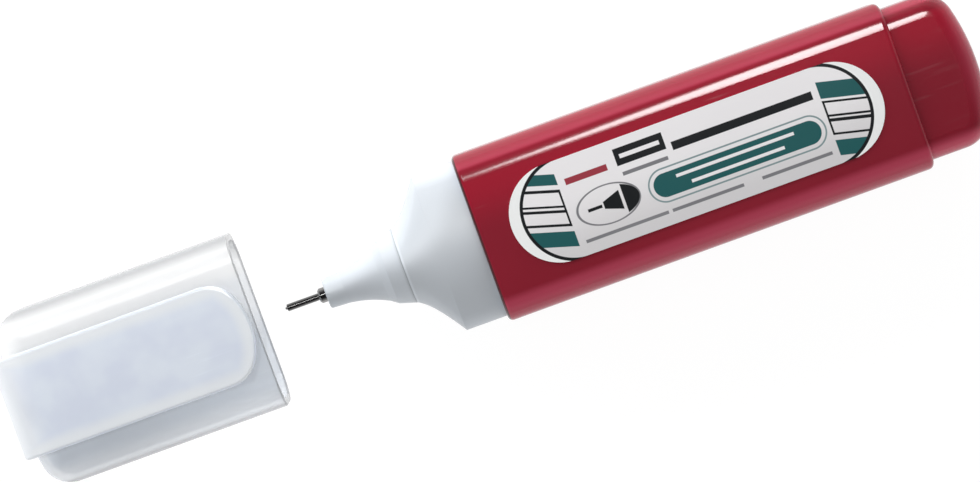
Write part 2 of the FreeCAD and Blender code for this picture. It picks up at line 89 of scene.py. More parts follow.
class PenColours(bpy.types.PropertyGroup):
    """Colours of the mouldings, the print and the metal."""

    barrel: colour("Barrel", "Moulded colour of the squeeze barrel", (0.262, 0.0140, 0.029))
    # Painted light: the fuller red towards the far side stands in for the light falling there
    barrel_lit_red: colour("Barrel glow", "Fuller red beside the label", (0.37, 0.0120, 0.031))
    # Painted light: the lighter red where the walls turn down stands in for light on them
    barrel_side_lit: colour("Barrel side", "Lighter red where the squeezed walls turn down",
                        (0.58, 0.070, 0.125))
    white: colour("Nozzle", "White of the shoulder and the nose cone", (0.60, 0.64, 0.685))
    film: colour("Label film", "White of the label film", (0.935, 0.915, 0.93))
    film_end: colour("Label ends", "White of the film outside its arcs", (0.97, 0.985, 0.98))
    green: colour("Label green", "Printed colour of the label's blocks", (0.018, 0.115, 0.118))
    ink: colour("Label black", "Printed black of the label", (0.012, 0.014, 0.016))
    grey: colour("Label grey", "Printed grey of the label's small bars", (0.22, 0.22, 0.235))
    red: colour("Label red", "Printed red of the label's short bar", (0.36, 0.045, 0.065))
    pale: colour("Label pale green", "Printed tint of the thin outlines", (0.24, 0.33, 0.34))
    steel: colour("Steel", "Colour of the collar and the needle", (0.32, 0.318, 0.315))
    shell: colour("Cap shell", "Milky tint of the cap's shell", (0.90, 0.92, 0.95))
    clip: colour("Cap clip", "Frosted tint of the cap's clip", (0.81, 0.87, 1.0))
    inner: colour("Inner parts", "White of the sleeve, the pad and the valve", (0.78, 0.80, 0.82))


class PenFinish(bpy.types.PropertyGroup):
    """How glossy and how clear the pieces are."""

    barrel_roughness: share("Barrel roughness", "Roughness of the glossy barrel", 0.14)
    white_roughness: share("Nozzle roughness", "Roughness of the white mouldings", 0.42)
    shell_cover: share("Shell cover", "How much each wall of the shell hides", 0.42)
    clip_cover: share("Clip cover", "How much each face of the clip hides", 0.87)


class PenStage(bpy.types.PropertyGroup):
    """The floor and the light."""

    floor_size: bpy.props.FloatProperty(
        name="Floor size", description="Width of the floor", subtype="DISTANCE",
        unit="LENGTH", min=0.5, default=4.0)
    side_light: bpy.props.FloatProperty(
        name="Side light", description="Power of the large light on the far side",
        subtype="POWER", min=0.0, default=0.62)
    strip_light: bpy.props.FloatProperty(
        name="Strip lights", description="Power of the strip lights over the pen and the cap",
        subtype="POWER", min=0.0, default=3.1)
    fill_light: bpy.props.FloatProperty(
        name="Fill", description="Strength of the light from all round", min=0.0, default=0.325)


# Materials

class Wire:
    """A socket that gives a number. Python's arithmetic on it adds Math nodes."""

    def __init__(self, finish, socket):
        self.finish, self.socket = finish, socket

    def math(self, operation, *others, clamp=False):
        node = self.finish.node("ShaderNodeMath", {"operation": operation, "use_clamp": clamp},
                                dict(enumerate((self, *others))))
        return Wire(self.finish, node.outputs[0])

    def __add__(self, other):
        return self.math("ADD", other)

    def __sub__(self, other):
        return self.math("SUBTRACT", other)

    def __rsub__(self, other):
        return self.math("MULTIPLY", -1.0).math("ADD", other)

    def __mul__(self, other):
        return self.math("MULTIPLY", other)

    def __truediv__(self, other):
        return self.math("DIVIDE", other)

    def __abs__(self):
        return self.math("ABSOLUTE")

    __radd__, __rmul__ = __add__, __mul__

    def at_least(self, other):
        return self.math("MAXIMUM", other)

    def power(self, exponent):
        return self.math("POWER", exponent)

    def inside(self, softness):
        """1 where a distance is below 0, fading over the softness. The sum with 0 clamps it."""
        return (0.5 - self * (1.0 / softness)).math("ADD", 0.0, clamp=True)


def length(x, y):
    return (x * x + y * y).power(0.5)


def shade(base, factor):
    """The colour made darker, or lighter up to white."""
    return tuple(min(1.0, c * factor) for c in base[:3]) + (1.0,)


class Finish:
    """A material, built from the point on the piece to the shader."""

    def __init__(self, name):
        self.material = bpy.data.materials.new(name)
        self.material.use_nodes = True
        self.tree = self.material.node_tree
        self.tree.nodes.clear()

    def node(self, kind, settings=None, inputs=None):
        """Add a node: first its settings, then the values or links of its sockets."""
        made = self.tree.nodes.new(kind)
        for name, value in (settings or {}).items():
            if name == "stops":
                ramp = made.color_ramp
                while len(ramp.elements) < len(value):
                    ramp.elements.new(0.5)
                for stop, (place, tint) in zip(ramp.elements, value):
                    stop.position, stop.color = place, tint
            else:
                setattr(made, name, value)
        for name, value in (inputs or {}).items():
            socket = made.inputs[name]
            if isinstance(value, Wire):
                self.tree.links.new(value.socket, socket)
            elif isinstance(value, bpy.types.NodeSocket):
                self.tree.links.new(value, socket)
            else:
                socket.default_value = value
        return made

    def place(self, centre=(0.0, 0.0, 0.0)):
        """The point on the piece in millimetres from the centre, as three numbers."""
        spot = self.node("ShaderNodeTexCoord").outputs["Object"]
        shifted = self.node(
            "ShaderNodeMapping", {"vector_type": "POINT"},
            {"Vector": spot, "Scale": (1 / MM,) * 3, "Location": tuple(-c for c in centre)})
        parts = self.node("ShaderNodeSeparateXYZ", None, {0: shifted.outputs[0]})
        return tuple(Wire(self, output) for output in parts.outputs)

    def noise(self, scale, detail, roughness, stretch=(1.0, 1.0, 1.0), seed=0.0):
        """Even noise from 0 to 1, with so many grains to the metre, longer along an axis whose
        stretch is small."""
        spot = self.node("ShaderNodeTexCoord").outputs["Object"]
        spot = self.node("ShaderNodeMapping", {"vector_type": "POINT"},
                         {"Vector": spot, "Scale": stretch, "Location": (seed, seed, seed)})
        made = self.node("ShaderNodeTexNoise", {"noise_dimensions": "3D"},
                         {"Vector": spot.outputs[0], "Scale": scale, "Detail": detail,
                          "Roughness": roughness})
        return Wire(self, made.outputs["Fac"])

    def spread(self, value, start, end):
        """0 up to the start and 1 from the end, either way round, with a smooth step."""
        made = self.node("ShaderNodeMapRange", {"interpolation_type": "SMOOTHSTEP"},
                         {"Value": value, "From Min": start, "From Max": end})
        return Wire(self, made.outputs["Result"])

    def blend(self, share_of_second, first, second, mode="MIX"):
        """Mix two colours, each a value or a link."""
        made = self.node("ShaderNodeMix", {"data_type": "RGBA", "blend_type": mode,
                                           "clamp_factor": True},
                         {0: share_of_second, 6: first, 7: second})
        return made.outputs[2]

    def bump(self, height, strength):
        """Relief from a height in millimetres."""
        made = self.node("ShaderNodeBump", None,
                         {"Height": height, "Distance": MM, "Strength": strength})
        return made.outputs["Normal"]

    def surface(self, **inputs):
        """Close the material with the main shader."""
        names = {key.replace("_", " "): value for key, value in inputs.items()}
        shader = self.node("ShaderNodeBsdfPrincipled", None, names)
        self.node("ShaderNodeOutputMaterial", None, {"Surface": shader.outputs[0]})
        return self.material


def dress(material, node):
    """Give a node of the frame the material."""
    piece = frame["nodes"][node]
    if not piece.material_slots:
        piece.data.materials.append(material)
    for used in piece.material_slots:
        used.material = material


MARK_LENGTH = 0.06       # a scuff's grain across the pen, as a share of its length along it
MARK_EDGE = (0.62, 0.70)         # where the grain is high enough to be a scuff
GRAIN_HEIGHT, SINK_HEIGHT, SCUFF_DEPTH = 0.004, 0.06, 0.004    # relief of a moulding in mm


def tinted(finish, base, amount, scale, seed):
    """A colour that drifts a little lighter and darker over the piece."""
    drift = finish.spread(finish.noise(scale, 2.0, 0.5, seed=seed), 0.3, 0.7)
    return finish.blend(drift, shade(base, 1 - amount), shade(base, 1 + amount))


def scuffs(finish, share_of_area, seed):
    """Fine handling marks, mostly along the pen: 1 on a mark."""
    long_marks = finish.noise(900.0, 2.0, 0.6, (MARK_LENGTH, 1.0, 1.0), seed)
    where = finish.noise(60.0, 2.0, 0.5, seed=seed + 3.1)
    return (finish.spread(long_marks, *MARK_EDGE)
            * finish.spread(where, 0.55 - share_of_area, 0.75))


def moulded(name, base, roughness, seed, drift=0.03, coat=0.0, tone=None):
    """A matt or satin moulding: slow drift of tone, fine grain and a few scuffs."""
    finish = Finish(name)
    marks = scuffs(finish, 0.1, seed)
    fine = finish.noise(2600.0, 3.0, 0.6, seed=seed)
    slow = finish.noise(70.0, 2.0, 0.5, seed=seed + 1.7)
    height = fine * GRAIN_HEIGHT + slow * SINK_HEIGHT + marks * -SCUFF_DEPTH
    tint = tinted(finish, base, drift, 55.0, seed)
    # A given tone is painted shading, multiplied into the colour
    if tone:
        tint = finish.blend(1.0, tint, tone(finish).socket, "MULTIPLY")
    return finish.surface(
        Base_Color=tint,
        Roughness=roughness + (fine - 0.5) * 0.12 + marks * 0.08,
        Coat_Weight=coat, Coat_Roughness=0.12, IOR=1.49,
        Normal=finish.bump(height, 0.6))


# The barrel

MOUTH_LINE, MOUTH_FADE = 0.5, 0.15   # a thin line of painted shade where the mouth meets the shoulder
FAR_SIDE, NEAR_SIDE = (2.9, 2.25), (4.8, 3.0)   # mm in from each side, where lighter red is painted as light on the turning walls
FAR_ROUND, NEAR_ROUND = (2.3, 0.8), (2.6, 1.0)  # and where it is deep again, past the rounding
FAR_LIGHT, NEAR_LIGHT = 0.43, 0.8    # how much painted light lightens the red on each side
FAR_DEEP, NEAR_DEEP = 0.9, 0.5       # how much of that the rounding takes back
TAIL_FROM, TAIL_TO, TAIL_LIGHT = 4.5, 0.5, 0.45     # the same painted light at the tail, mm from its end
DOWN_FROM, DOWN_TO = 4.0, 9.0        # mm below the top, between which the painted light fades to half
LIT_RED_FROM, LIT_RED_TO = (0.5, 9.0), (11.0, 9.6)    # mm to the far side, where a fuller red is painted as light falling on the far half
BARREL_SINK, BARREL_GRAIN, BARREL_SCUFF = 0.05, 0.0012, 0.002   # relief in mm


class PEN_OT_barrel(bpy.types.Operator):
    """Finish the barrel as a glossy crimson moulding, with painted light on its sides and a
    painted shade line at its mouth
    """

    bl_idname = "pen.barrel"
    bl_label = "Barrel"

    def execute(self, context):
        colours, look = context.scene.pen_colours, context.scene.pen_finish
        finish = Finish("glossy crimson moulding")
        marks = scuffs(finish, 0.12, 1.0)
        slow = finish.noise(48.0, 1.5, 0.45, seed=2.0)
        fine = finish.noise(3200.0, 2.0, 0.5, seed=4.0)
        height = slow * BARREL_SINK + fine * BARREL_GRAIN - marks * BARREL_SCUFF
        x, y, z = finish.place()
        from_far, from_near = BARREL_MAX.y - y, y - BARREL_MIN.y
        # Painted light: lighter red where the walls turn, and at the tail's end, fading lower down
        side = (finish.spread(from_far, *FAR_SIDE) * FAR_LIGHT
                * (1.0 - finish.spread(from_far, *FAR_ROUND) * FAR_DEEP))
        side = side.at_least(finish.spread(from_near, *NEAR_SIDE) * NEAR_LIGHT
                             * (1.0 - finish.spread(from_near, *NEAR_ROUND) * NEAR_DEEP))
        side = side.at_least(
            finish.spread(x, BARREL_MAX.x - TAIL_FROM, BARREL_MAX.x - TAIL_TO) * TAIL_LIGHT)
        top = finish.spread(z, BARREL_MAX.z - DOWN_TO, BARREL_MAX.z - DOWN_FROM)
        side = side * (0.5 + top * 0.5)
        # Painted shade: a dark line along the mouth, next to the shoulder
        mouth = finish.spread(x, BARREL_MIN.x + MOUTH_LINE,
                              BARREL_MIN.x + MOUTH_LINE - MOUTH_FADE)
        # Painted light: a fuller red towards the far side
        lit_red = finish.spread(y, *LIT_RED_FROM) * finish.spread(y, *LIT_RED_TO)
        red = finish.blend(lit_red, tinted(finish, colours.barrel, 0.05, 40.0, 2.0),
                           tuple(colours.barrel_lit_red))
        red = finish.blend(side, red, tuple(colours.barrel_side_lit))
        dress(finish.surface(
            Base_Color=finish.blend(mouth, red, shade(colours.barrel, 0.25)),
            Roughness=look.barrel_roughness + (fine - 0.5) * 0.06 + marks * 0.12,
            IOR=1.50, Normal=finish.bump(height, 0.5)), "barrel")
        return {"FINISHED"}


# The label's print, in millimetres from the middle of the film

PRINT_EDGE = 0.07        # softness of a printed edge
FILM_SHADE_FADE, NEAR_EDGE_SHADE = (-8.0, 3.0), 0.78   # painted shade: the film is darker towards its near edge
ARC_CENTRE, ARC_RADIUS, ARC_LINE = 21.8, 8.73, 0.28     # lines are given by half their width
LEFT_SLANT, LEFT_FROM = 0.30, -25.93    # the fall of the stripes, and the x that it starts at
LEFT_STRIPES = (         # colour, lower and upper edge there
    ("green", 5.20, 7.12), ("ink", 3.87, 4.40), ("ink", 1.22, 1.60), ("ink", 0.32, 0.82),
    ("ink", -2.07, -1.62), ("green", -5.62, -2.95),
)
LEFT_FRAME = (-23.36, -23.02, -2.07, 4.40)      # the upright line: from and to along x and y
RIGHT_SLANT, RIGHT_FROM = 0.24, 26.76
RIGHT_STRIPES = (
    ("green", 1.98, 4.87), ("ink", 1.20, 1.58), ("ink", -1.23, -0.84), ("ink", -2.10, -1.52),
    ("ink", -4.40, -4.02), ("green", -7.98, -5.30),
)
RIGHT_FRAME = (22.94, 23.28, -4.40, 1.58)
BARS = (                 # colour, centre x and y, half length, half height
    ("ink", -8.31, 5.33, 4.32, 1.46), ("film", -8.31, 5.33, 3.5, 0.36),
    ("grey", -8.23, 2.37, 4.0, 0.32), ("ink", 9.39, 3.95, 12.38, 0.72),
    ("red", -18.04, 4.37, 3.7, 0.55), ("grey", -14.45, -6.2, 7.3, 0.28),
    ("grey", -0.15, -6.2, 6.3, 0.28), ("grey", 15.6, -6.2, 6.2, 0.28),
)
LOZENGE = (6.57, -1.79, 14.75, 2.02)
LOZENGE_OUTLINE, LOZENGE_LINE = 0.78, 0.14      # how far outside the lozenge, and its line
LOZENGE_BARS = ((6.4, -0.95, 10.4, 0.27), (6.4, -2.65, 8.2, 0.27))
OVAL, OVAL_LINE = (-16.13, -1.49, 5.42, 3.22), 0.12
NEEDLE = (-18.5, -1.49, 1.25, 0.27)
CONE = (-16.96, -13.88, 0.60, 1.67)     # x of its tip and base, half height at each
DOME_FROM, DOME_SHARE = -13.38, 0.90    # the oval's end past the cone, a little lower
FILM_SINK, FILM_SCUFF = 0.02, 0.001     # relief in mm


def box_distance(x, y, bar):
    centre_x, centre_y, half_x, half_y = bar
    return (abs(x - centre_x) - half_x).at_least(abs(y - centre_y) - half_y)


def pill_distance(x, y, bar):
    centre_x, centre_y, half_x, half_y = bar
    past = (abs(x - centre_x) - (half_x - half_y)).at_least(0.0)
    return length(past, y - centre_y) - half_y


def oval_distance(x, y, oval):
    centre_x, centre_y, half_x, half_y = oval
    return (length((x - centre_x) / half_x, (y - centre_y) / half_y) - 1.0) * half_y


class Print:
    """The label's layers, each laid over the ones before it."""

    def __init__(self, finish, colours, y):
        self.finish, self.colours = finish, colours
        # Painted shade: the film darkens towards its near edge
        self.layers = finish.blend(finish.spread(y, *FILM_SHADE_FADE),
                                   shade(colours.film, NEAR_EDGE_SHADE),
                                   tinted(finish, colours.film, 0.02, 35.0, 7.0))

    def shape(self, ink, distance):
        """Fill what is nearer than 0."""
        self.layers = self.finish.blend(distance.inside(PRINT_EDGE), self.layers,
                                        tuple(getattr(self.colours, ink)))

    def line(self, ink, distance, half_width):
        """Draw the outline of what is nearer than 0."""
        self.shape(ink, abs(distance) - half_width)

    def end(self, x, y, side, slant, start, stripes, frame_line):
        """The slanted blocks and bars inside the arc at one end."""
        arc = length(x - side * ARC_CENTRE, y) - ARC_RADIUS
        self.shape("film_end", (arc * -1.0).at_least((x - side * ARC_CENTRE) * -side))
        band = y + slant * (x - start)
        low_x, high_x, low, high = frame_line
        inner_edge = high_x if side < 0 else low_x
        within = arc.at_least((x - inner_edge) * -side)
        for ink, bottom, top in stripes:
            across = abs(band - (bottom + top) / 2) - (top - bottom) / 2
            self.shape(ink, across.at_least(within))
        upright = abs(x - (low_x + high_x) / 2) - (high_x - low_x) / 2
        reach = abs(band - (low + high) / 2) - (high - low) / 2
        self.shape("ink", upright.at_least(reach))
        self.shape("ink", (abs(arc) - ARC_LINE).at_least((x - side * ARC_CENTRE) * -side))


class PEN_OT_label(bpy.types.Operator):
    """Print the film on the barrel's wide face with plain fields, bars and outlines"""

    bl_idname = "pen.label"
    bl_label = "Label"

    def execute(self, context):
        finish = Finish("printed white film")
        middle = (LABEL_MIN + LABEL_MAX) / 2
        x, y, _ = finish.place(middle)
        sheet = Print(finish, context.scene.pen_colours, y)
        sheet.end(x, y, -1, LEFT_SLANT, LEFT_FROM, LEFT_STRIPES, LEFT_FRAME)
        sheet.end(x, y, 1, RIGHT_SLANT, RIGHT_FROM, RIGHT_STRIPES, RIGHT_FRAME)
        for ink, *bar in BARS:
            sheet.shape(ink, box_distance(x, y, bar))
        lozenge = pill_distance(x, y, LOZENGE)
        sheet.line("pale", lozenge - LOZENGE_OUTLINE, LOZENGE_LINE)
        sheet.shape("green", lozenge)
        for bar in LOZENGE_BARS:
            sheet.shape("film", box_distance(x, y, bar))
        oval = oval_distance(x, y, OVAL)
        sheet.line("grey", oval, OVAL_LINE)
        sheet.shape("ink", box_distance(x, y, NEEDLE))
        tip, base, thin, thick = CONE
        flare = (thick - thin) / (base - tip)
        centre_x, centre_y, half_x, half_y = OVAL
        sides = abs(y - centre_y) - thin - (x - tip) * flare
        sheet.shape("ink", sides.at_least(abs(x - (tip + base) / 2) - (base - tip) / 2))
        dome = oval_distance(x, y, (centre_x, centre_y, half_x, half_y * DOME_SHARE))
        sheet.shape("ink", dome.at_least(DOME_FROM - x))
        marks = scuffs(finish, 0.1, 5.0)
        slow = finish.noise(80.0, 2.0, 0.5, seed=6.0)
        dress(finish.surface(
            Base_Color=sheet.layers,
            Roughness=0.16 + marks * 0.12 + (slow - 0.5) * 0.05, IOR=1.46,
            Normal=finish.bump(slow * FILM_SINK - marks * FILM_SCUFF, 0.5)), "label")
        return {"FINISHED"}


# White mouldings, metal and inner parts

NOZZLE_TOP, NOZZLE_LIFT, NOZZLE_LOW = 0.89, 0.15, 0.34   # painted shading: tone on top, painted light on the far side, painted shade low down
FLARE_FROM, FLARE_TO = 1.0, 10.0     # mm from the barrel's mouth, where the band turns round
BAND_FLAT, BAND_TURN = 1.4, 0.38     # how the band's flat top holds the far side's painted light back
LIFT_FROM, LIFT_TO = -0.1, 0.45      # sine of the turn from the top to the far side
LOW_FROM, LOW_TO, LOW_NEAR = 2.2, -2.3, 0.25    # mm over the axis, where painted shade low down begins and is full; its share on the near side
SEAM_HIGHLIGHT, LIP_IN, LIP_OUT = 0.14, (0.0, 0.1), (0.6, 0.3)         # a painted highlight at the seam
SEAM_SHADE, DARK_IN, DARK_OUT = 0.16, (-0.5, -0.1), (0.1, 0.0)    # and a painted shade line beside it


def nozzle_painted_shading(finish):
    """Painted shading round the nozzle's section: painted light high on the far side, painted
    shade below, and a painted highlight and shade line at the seam.
    """
    x, y, z = finish.place((0.0, 0.0, AXIS_Z))
    flat = finish.spread(x, BARREL_MIN.x - FLARE_TO, BARREL_MIN.x - FLARE_FROM)
    radius = length(y, z * (1.0 + flat * BAND_FLAT)).at_least(0.01)
    lift = finish.spread(y / radius - flat * BAND_TURN, LIFT_FROM, LIFT_TO)
    far = finish.spread(y, -1.0, 1.0)
    low = finish.spread(z, LOW_FROM, LOW_TO) * (LOW_NEAR + far * (1.0 - LOW_NEAR))
    seam = x - SEAM_X
    seam_highlight = finish.spread(seam, *LIP_IN) * finish.spread(seam, *LIP_OUT)
    seam_shade = finish.spread(seam, *DARK_IN) * finish.spread(seam, *DARK_OUT)
    return ((NOZZLE_TOP + lift * NOZZLE_LIFT) * (1.0 - low * NOZZLE_LOW)
            + seam_highlight * SEAM_HIGHLIGHT - seam_shade * SEAM_SHADE)


class PEN_OT_nozzle(bpy.types.Operator):
    """Finish the shoulder and the nose cone as satin white mouldings with painted shading"""

    bl_idname = "pen.nozzle"
    bl_label = "Shoulder and nose cone"

    def execute(self, context):
        colours, look = context.scene.pen_colours, context.scene.pen_finish
        for seed, (name, node) in enumerate((("satin white shoulder", "shoulder"),
                                             ("satin white nose", "nose_cone"))):
            dress(moulded(name, colours.white, look.white_roughness, 10.0 + seed,
                          0.02, 0.12, tone=nozzle_painted_shading), node)
        return {"FINISHED"}


RINGS, LINES = (1.0, 0.04, 0.04), (0.03, 1.0, 1.0)   # stretch of turning and of drawing marks
STEEL_MARK = 0.0008      # their relief in mm


def steel_finish(name, base, roughness, stretch, seed):
    """Steel with fine marks: rings from turning, or lines from drawing along the pen."""
    finish = Finish(name)
    lines = finish.noise(9000.0, 2.0, 0.7, stretch, seed)
    stain = finish.spread(finish.noise(420.0, 3.0, 0.6, seed=seed + 2.0), 0.35, 0.75)
    return finish.surface(
        Base_Color=finish.blend(stain * 0.5 + lines * 0.3, tuple(base), shade(base, 0.72)),
        Metallic=1.0,
        Roughness=roughness + (lines - 0.5) * 0.05 + stain * 0.02,
        Normal=finish.bump(lines * STEEL_MARK, 0.6))


class PEN_OT_tip(bpy.types.Operator):
    """Finish the collar, the needle and the wire in it as steel"""

    bl_idname = "pen.tip"
    bl_label = "Metal tip"

    def execute(self, context):
        steel = context.scene.pen_colours.steel
        for name, base, roughness, stretch, seed, node in (
                ("turned steel collar", steel, 0.10, RINGS, 1.0, "tip_ferrule"),
                # Painted shade: the needle is a darker copy of the collar's steel, so that it
                # shows less of the lights
                ("drawn steel needle", shade(steel, 0.66), 0.10, LINES, 2.0, "tip_tube"),
                ("drawn steel wire", steel, 0.32, LINES, 3.0, "valve_wire")):
            dress(steel_finish(name, base, roughness, stretch, seed), node)
        return {"FINISHED"}


SPRING_TURNS, SPRING_WIRE = 5, 0.14  # turns, and the radius of the wire in mm
COIL_STEPS, WIRE_STEPS = 40, 12      # faces to a turn, and round the wire


def coiled_spring(name, low, high):
    """A coil of round wire along X that fills the box between two corners, in millimetres."""
    bpy.ops.object.select_all(action="DESELECT")
    bpy.ops.mesh.primitive_circle_add(vertices=WIRE_STEPS, radius=SPRING_WIRE * MM,
                                      fill_type="NOTHING", location=(0.0, 0.0, 0.0))
    spring = bpy.context.active_object
    spring.name = spring.data.name = name
    bpy.ops.object.mode_set(mode="EDIT")
    bpy.ops.mesh.select_all(action="SELECT")
    bpy.ops.transform.translate(value=(0.0, ((high.z - low.z) / 2 - SPRING_WIRE) * MM, 0.0))
    bpy.ops.object.mode_set(mode="OBJECT")
    winding = spring.modifiers.new("winding", "SCREW")
    winding.axis, winding.angle, winding.iterations = "X", math.tau, SPRING_TURNS
    winding.screw_offset = (high.x - low.x - 2 * SPRING_WIRE) / SPRING_TURNS * MM
    winding.steps = winding.render_steps = COIL_STEPS
    bpy.ops.object.modifier_apply(modifier=winding.name)
    bpy.ops.object.mode_set(mode="EDIT")
    bpy.ops.mesh.select_all(action="SELECT")
    bpy.ops.mesh.fill_holes(sides=0)
    bpy.ops.mesh.normals_make_consistent(inside=False)
    bpy.ops.object.mode_set(mode="OBJECT")
    bpy.ops.object.shade_smooth()
    spring.location = Vector((low.x + SPRING_WIRE, (low.y + high.y) / 2,
                              (low.z + high.z) / 2)) * MM
    bpy.ops.object.transform_apply(location=True, rotation=False, scale=False)
    return spring


class PEN_OT_inner_parts(bpy.types.Operator):
    """Finish the parts inside, and make the spring that the valve presses"""

    bl_idname = "pen.inner_parts"
    bl_label = "Inner parts"

    def execute(self, context):
        colours = context.scene.pen_colours
        dress(moulded("moulded plunger", colours.inner, 0.40, 21.0), "valve_plunger")
        dress(moulded("moulded spring seat", colours.inner, 0.42, 22.0), "spring_seat")
        dress(moulded("soft gasket", shade(colours.inner, 0.8), 0.62, 23.0, 0.05), "nose_seal")
        low, high = (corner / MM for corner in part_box("valve_spring"))
        travel = max(joint["range_m"][1] for joint in frame["record"]["behaviour"]["joints"]
                     if joint["name"] == "valve_slide") / MM
        spring = coiled_spring("spring_coil", low, high)
        if len(spring.data.polygons) <= SPRING_TURNS * COIL_STEPS * WIRE_STEPS:
            raise RuntimeError("the spring's wire has no closed ends")
        spring.data.materials.append(
            steel_finish("coiled steel wire", colours.steel, 0.25, LINES, 5.0))
        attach(spring, "barrel")
        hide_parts("valve_spring")
        1.0 - travel / (high.x - low.x)
        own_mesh(spring)
        dress(steel_finish("polished steel ball", shade(colours.steel, 1.4), 0.16, RINGS, 6.0),
              "mixing_ball")
        return {"FINISHED"}


# The cap

FAR_FROM, FAR_TO = -3.0, 3.0         # mm across the middle, where near turns to far
CLIP_FROM, CLIP_TO = 0.1, 0.5        # mm over the shell, where the clip starts
RIM_DEEP, RIM_FADE, RIM_GREY = 0.35, 0.1, 0.7   # the painted shade line at the mouth: mm back, fade, grey
WALL_DEEP = 4.5          # how far in the rounded sides reach, which look denser from above
EDGE_DEEP, EDGE_GREY = 1.3, 0.8      # the painted shade line at the outermost sides
FAR_EDGE_DEEP, FAR_EDGE_MORE = 3.0, 0.1         # the same on the far side, where it fades slowly
EDGE_LOW, EDGE_LOW_MORE = 0.15, 0.72     # how much of it is left low down, and more when far
HIGH_FROM, HIGH_TO = 9.0, 2.5        # mm below the shell's top, where low turns to high
END_DEEP, END_FADE = 1.6, 0.3        # the closed end, as dense as the sides
NEAR_SHADE = (0.83, 0.87, 0.92)       # painted shade: how much greyer the shell is towards the near side
SIDE_WHITE = 0.35        # painted light: how much whiter the near rounded side is
FAR_WHITE_FROM, FAR_WHITE_TO, FAR_WHITE = 7.0, 9.5, 0.9   # mm from the middle, where painted light whitens the far band
EDGE_TONE = 0.33         # the shell's tone in its painted shade lines
GAP, GAP_GREY, GAP_LESS_FAR = (0.9, 0.2), 0.25, 0.2      # painted shade on the shell round the clip, less on the far side
FAR_SIDE_GREY = 0.18     # painted shade on the far rounded side
WALL_COVER, LINE_COVER = 0.08, 0.3   # how much more the sides and the grey lines hide
SHELL_SCATTER = 0.7      # share of the light held back by a milky wall that it scatters on
CLIP_SHORT, CLIP_HALF_WIDTH, CLIP_END_RADIUS = 0.5, 8.7, 13.0    # mm; short of the mouth
CLIP_BORDER = (-3.2, -1.0), (0.0, -0.6)         # mm from its outline, where painted light makes it paler
CLIP_ROOT = (6.0, 0.5)   # mm from the closed end, where painted light makes it paler too
# the colour and share of that painted light
CLIP_PALE, CLIP_PALE_SHARE = (0.95, 0.98, 1.0, 1.0), 0.8
CLIP_LIP, LIP_BORDER = (0.62, 0.66, 0.72, 1.0), (-0.55, -0.2)    # painted shade along its edge on the far side
CLIP_WALL, WALL_BORDER = (0.43, 0.46, 0.50, 1.0), (-0.3, -0.05)  # and painted shade on the wall under the edge
WALL_DOWN, WALL_NEAR = (0.35, 0.9), 0.3         # mm below its top; share on the near side
CLIP_EDGE_SHARE = 0.8    # how much of those two painted shades shows


def clip_distance(x, y):
    """How far from the clip's outline, seen from above: below 0 on the clip."""
    past = (x - (CAP_MAX.x - CLIP_SHORT - CLIP_END_RADIUS)).at_least(0.0)
    return (length(past, y) - CLIP_END_RADIUS).at_least(abs(y) - CLIP_HALF_WIDTH)


def frosted_clip(finish, base, tongue, far, x, z):
    """The clip's tint: painted light in a border and at its root, painted shade at its edge and
    down its wall.
    """
    inner, outer = CLIP_BORDER
    pale = finish.spread(tongue, *inner) * finish.spread(tongue, *outer) * CLIP_PALE_SHARE
    root_from, root_to = CLIP_ROOT
    root = finish.spread(x, CAP_MIN.x + root_from, CAP_MIN.x + root_to)
    pale = pale.at_least(root * CLIP_PALE_SHARE)
    frosted = finish.blend(pale, tinted(finish, base, 0.04, 170.0, 34.0), CLIP_PALE)
    lip = finish.spread(tongue, *LIP_BORDER) * far
    frosted = finish.blend(lip * CLIP_EDGE_SHARE, frosted, CLIP_LIP)
    wall_from, wall_to = WALL_DOWN
    wall = (finish.spread(tongue, *WALL_BORDER) * (WALL_NEAR + far * (1.0 - WALL_NEAR))
            * finish.spread(z, CAP_MAX.z - wall_from, CAP_MAX.z - wall_to))
    return finish.blend(wall * CLIP_EDGE_SHARE, frosted, CLIP_WALL)


